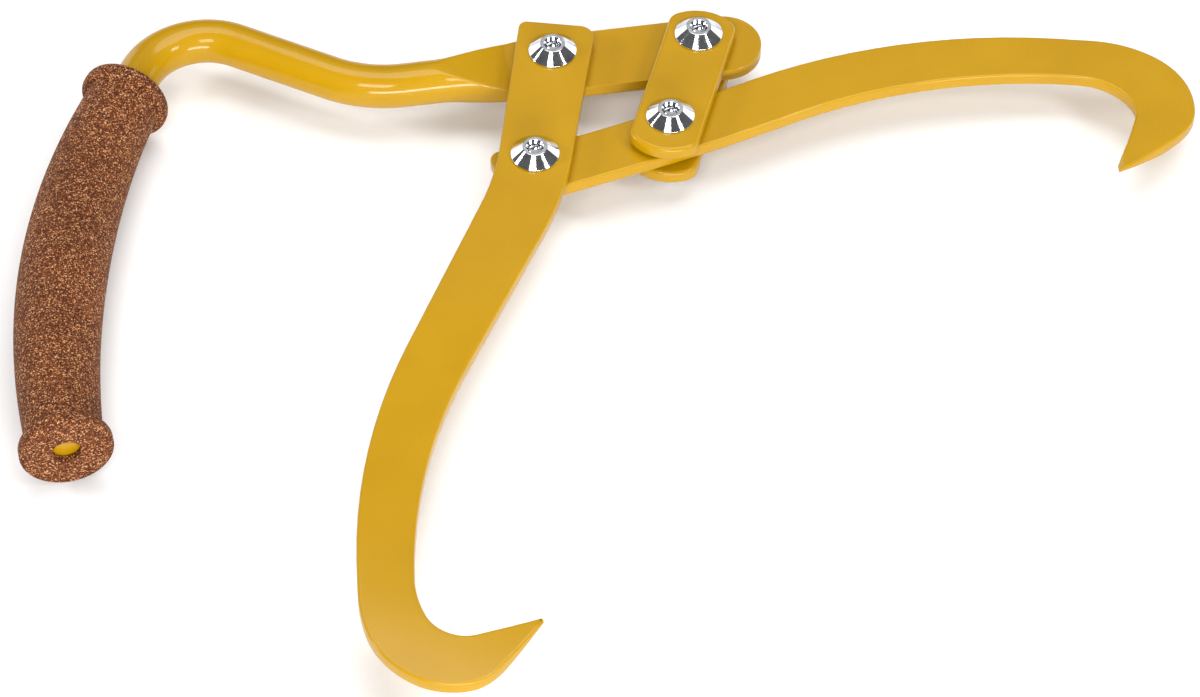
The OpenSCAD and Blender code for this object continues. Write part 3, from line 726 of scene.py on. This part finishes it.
def drill(bm, x, y, d, sides=64, depth=20.0, twist=0.02):
    """Cuts an upright hole through the mesh under construction. The small twist keeps the
    drill's corners off the mesh's own rows of points."""
    tool = bmesh.new()
    bmesh.ops.create_cone(tool, cap_ends=True, segments=sides, radius1=d / 2, radius2=d / 2,
        depth=depth, matrix=Matrix.Translation((x, y, MID_Z)) @ Matrix.Rotation(twist, 4, "Z"))
    carved(bm, tool)


handle_bar()

# Grip, as rings along its bow: its two flanges, the neck beside each, and the fuller body
FLANGE_R, NECK_D, BODY_D = 16.4, 27.1, 31.5
TOP_FLANGE, TOP_ROUND, END_FLANGE, END_ROUND, FALL = 7.0, 3.6, 5.8, 1.2, 2.2
HOLE_R = 4.9


def flange(h, round_r, count=8):
    """Profile of a flange from its outer face to the neck, which starts at h."""
    neck = NECK_D / 2
    quarter = [math.pi / 2 * k / count for k in range(count + 1)]
    return [(FLANGE_R - round_r * (1 - math.sin(t)), round_r * (1 - math.cos(t)), 0)
        for t in quarter] + [(FLANGE_R - (FLANGE_R - neck) * (1 - math.cos(t)),
        h - FALL * (1 - math.sin(t)), 0) for t in quarter]


def grip(body_steps=60, bore_round=0.4, mouth_round=0.7, inner_round=0.2):
    """The grip, with its blind bore and the small hole in its end."""
    body_l = GRIP_L - TOP_FLANGE - END_FLANGE
    body = [((NECK_D + (BODY_D - NECK_D) * math.sin(math.pi * k / body_steps)) / 2,
        TOP_FLANGE + body_l * k / body_steps, 0) for k in range(1, body_steps)]
    end = [(a, GRIP_L - b, 0) for a, b, r in reversed(flange(END_FLANGE, END_ROUND))]
    bore, bore_end = ROD_R + FIT, GRIP_L - GRIP_WALL
    profile = outline([(bore, 0, bore_round)] + flange(TOP_FLANGE, TOP_ROUND) + body + end + [
        (HOLE_R, GRIP_L, mouth_round), (HOLE_R, bore_end, inner_round),
        (bore, bore_end, inner_round)] + [(bore, GRIP_L * part, 0) for part in (0.75, 0.5, 0.25)])
    points, normals = turned(profile, lambda b: across(ahead(GRIP_START, b, BOW * b / GRIP_L)))
    skin("grip", points, normals, True)


grip()

# Fasteners, each on its CAD node's place and heights
HEAD_R, HEAD_H, RIM_H, HEAD_FLAT_R = 8.75, 4.4, 0.8, 4.5
SCREW_R, TAIL_CHAMFER = 3.95, 0.8
THREAD_L, THREAD_PITCH, THREAD_DEPTH, THREAD_FADE = 7.0, 1.25, 0.55, 1.5
SOCKET_AF, SOCKET_DEPTH, COUNTERSINK, MOUTH_OVER = 5.0, 2.6, 0.9, 0.35
NUT_AF, NUT_H, NUT_EDGE, NUT_CHAMFER = 13.0, 8.0, 0.15, 0.5
COLLAR_H, COLLAR_R, COLLAR_CURL = 2.5, 6.0, 1.0
LIP_R, LIP_T, RING_R, RING_H = 4.6, 0.5, 5.15, 1.7
WASHER_GAP, WASHER_ROUND, SHIM_ROUND, RING_ROUND = 0.3, 0.3, 0.2, 0.15


def hexagon(flats):
    """Distance from the middle to a hexagon's outline, with slightly softened corners."""
    turns = np.arange(6)[:, None] * math.pi / 3 + math.pi / 6
    near = np.maximum(np.cos(TURNS - turns), 1e-3) / (flats / 2)
    return (near ** SHARP).sum(0) ** (-1 / SHARP)


def span(node):
    """Middle, lower end and upper end of a CAD node that stands on a pivot."""
    low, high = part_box(node)
    return (low.x + high.x) / 2 / MM, (low.y + high.y) / 2 / MM, low.z / MM, high.z / MM


def screw(node, thread_step=0.12):
    """A screw with a conical collar head, a hexagon socket and a threaded tail."""
    x, y, low, high = span(node)
    seat = high - HEAD_H
    at = upright(x, y)
    # the tail, with a real thread that fades out towards the shank
    heights = np.arange(0.0, THREAD_L, thread_step)
    end_r = SCREW_R - TAIL_CHAMFER
    tail = [(end_r - 0.5, low, 0, -1), (end_r - 0.1, low, 0, -1)]
    first = len(tail)
    tail += [(1.0, low + h, 1, 0) for h in heights]
    points, normals = turned(tail, at)
    for i, h in enumerate(heights, first):
        depth = THREAD_DEPTH * min(1.0, (THREAD_L - h) / THREAD_FADE)
        wave = np.abs(((h / THREAD_PITCH - TURNS / (2 * math.pi)) % 1.0) * 2 - 1)
        radius = np.minimum(SCREW_R - depth * wave, end_r + h)
        points[i] = widened(points[i], x, y, radius)
    normals[1:] = ring_normals(points, False)[1:]
    # the shank and the head, up to the countersunk mouth of the socket
    mouth = SOCKET_AF / 2 / math.cos(math.pi / 6) + MOUTH_OVER
    head = outline([(SCREW_R, low + heights[-1] + 0.3, 0), (SCREW_R, seat, 0.1),
        (HEAD_R, seat, 0.2), (HEAD_R, seat + RIM_H, 0.25), (HEAD_FLAT_R, high, 0.35),
        (mouth, high, 0.12), (mouth - 0.5, high - COUNTERSINK * 0.5, 0)], closed=False)[:-1]
    head_points, head_normals = turned(head, at)
    # the socket: parts of the hexagon's size, their heights under the head's top, and normals
    six = hexagon(SOCKET_AF)
    out = np.stack([np.cos(TURNS), np.sin(TURNS), 0 * TURNS], 1)
    up = np.array([0, 0, 1.0])
    cone = -COUNTERSINK * (mouth - six)
    socket, socket_n = [], []
    for part, z, side, rise in ((1.0, cone, -0.7, 0.7), (1.0, cone - 0.05, -1, 0),
            (1.0, 0.15 - SOCKET_DEPTH, -1, 0), (0.94, -SOCKET_DEPTH, -0.3, 0.95),
            (0.5, -SOCKET_DEPTH, 0, 1)):
        spots = np.array([x, y, high]) + out * (six * part)[:, None]
        spots[:, 2] += z
        socket.append(spots)
        socket_n.append(out * side + up * rise)
    skin(node, np.concatenate([points, head_points, socket]),
        np.concatenate([normals, head_normals, socket_n]), False)


def nut(node):
    """A lock nut: chamfered hexagon, round collar, and a lip rolled in over the plastic ring.
    Heights run down from the washer."""
    x, y, _, high = span(node)
    hex_h, half = NUT_H - COLLAR_H, NUT_AF / 2
    bore, groove = SCREW_R + FIT, RING_R + FIT
    ring_low = NUT_H - LIP_T
    ring_high = ring_low - RING_H - FIT
    six = hexagon(NUT_AF)
    rise = np.array([0.0, 0.08, 0.16, 0.25, 0.34, 0.43, 0.52, 0.65, 0.9])
    heights = np.concatenate([rise, hex_h - rise[::-1]])
    profile = [(bore, NUT_CHAMFER), (bore + NUT_CHAMFER - 0.05, 0), (bore + NUT_CHAMFER, 0),
        (half - 0.5, 0), (half - NUT_EDGE, 0)]
    first = len(profile)
    profile += [(1.0, h) for h in heights]
    profile += [(half - NUT_EDGE, hex_h), (COLLAR_R + 0.3, hex_h), (COLLAR_R + 0.08, hex_h + 0.1),
        (COLLAR_R, hex_h + 0.35), (COLLAR_R, NUT_H - COLLAR_CURL - 0.1)]
    profile += [(COLLAR_R - COLLAR_CURL * (1 - math.cos(t)),
        NUT_H - COLLAR_CURL * (1 - math.sin(t))) for t in (math.pi / 2 * k / 6 for k in range(7))]
    profile += [(LIP_R + 0.15, NUT_H), (LIP_R, NUT_H - 0.15), (LIP_R, ring_low),
        (groove, ring_low), (groove, ring_high), (bore, ring_high)]
    points, normals = turned([(a, b, 1, 0) for a, b in profile], upright(x, y, high, down=True))
    for i, h in enumerate(heights, first):
        cone = half + 2 * min(h, hex_h - h)
        radius = (six ** -SHARP + cone ** -SHARP) ** (-1 / SHARP)
        points[i] = widened(points[i], x, y, radius)
    skin(node, points, ring_normals(points, True), True)


def flat_ring(node, round_r, inner_r):
    """A washer, spacer or plastic ring."""
    x, y, low, high = span(node)
    outer_r = (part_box(node)[1].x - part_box(node)[0].x) / 2 / MM
    profile = outline([(inner_r, low, round_r), (outer_r, low, round_r),
        (outer_r, high, round_r), (inner_r, high, round_r)])
    skin(node, *turned(profile, upright(x, y)), True)


for node in list(frame["nodes"]):
    if node.startswith("screw_"):
        screw(node)
    elif node.startswith("nut_ring_"):
        flat_ring(node, RING_ROUND, SCREW_R + FIT)
    elif node.startswith("nut_"):
        nut(node)
    elif node.startswith("washer_"):
        flat_ring(node, WASHER_ROUND, SCREW_R + WASHER_GAP)
    elif node.startswith("shim_"):
        flat_ring(node, SHIM_ROUND, SCREW_R + WASHER_GAP)

# Floor
FLOOR_HALF = 3.0
floor_mesh = bpy.data.meshes.new("floor")
floor_mesh.from_pydata([(-FLOOR_HALF, -FLOOR_HALF, 0), (FLOOR_HALF, -FLOOR_HALF, 0),
    (FLOOR_HALF, FLOOR_HALF, 0), (-FLOOR_HALF, FLOOR_HALF, 0)], [], [(0, 1, 2, 3)])
floor = bpy.data.objects.new("floor", floor_mesh)
bpy.context.scene.collection.objects.link(floor)
white = Nodes("floor_white")
white.to("Base Color", white.ramp(white.noise(500, 2.0), [
    (0.3, (0.90, 0.90, 0.90, 1)), (0.7, (0.92, 0.92, 0.92, 1))]))
white.set(Roughness=0.75, Specular_IOR_Level=0.2)
floor_mesh.materials.append(white.material)

# Studio light: each lamp's place, its width and height, and its power in watts. All look at
# the tongs' middle, and a dim white room fills in the rest.
CENTRE = Vector((-0.05, -0.12, 0.02))
ROOM_LIGHT = 0.13
LAMPS = {
    "key": ((-0.55, -1.3, 1.49), 0.7, 0.5, 13),
    "front": ((-0.1, -2.1, 0.5), 1.6, 0.35, 38),
    "fill": ((1.08, -1.04, 1.24), 0.45, 0.45, 10),
    "left": ((-1.9, 0.2, 1.0), 0.4, 0.4, 12),
    "top": ((0.25, 0.35, 2.1), 2.0, 1.2, 30),
    "left_panel": ((-1.5, 1.3, 0.4), 2.0, 0.7, 9),
    "right_panel": ((1.6, 1.1, 0.4), 2.0, 0.7, 8),
    "back_panel": ((0.15, 1.36, 1.48), 1.4, 0.36, 0.8),
}
for name, (place, width, height, power) in LAMPS.items():
    data = bpy.data.lights.new(name, "AREA")
    data.shape = "RECTANGLE"
    data.size, data.size_y, data.energy = width, height, power
    obj = bpy.data.objects.new(name, data)
    bpy.context.scene.collection.objects.link(obj)
    obj.location = place
    obj.rotation_euler = (CENTRE - Vector(place)).to_track_quat("-Z", "Y").to_euler()
world = bpy.data.worlds.new("studio")
bpy.context.scene.world = world
world.use_nodes = True
world.node_tree.nodes["Background"].inputs["Color"].default_value = (1, 1, 1, 1)
world.node_tree.nodes["Background"].inputs["Strength"].default_value = ROOM_LIGHT
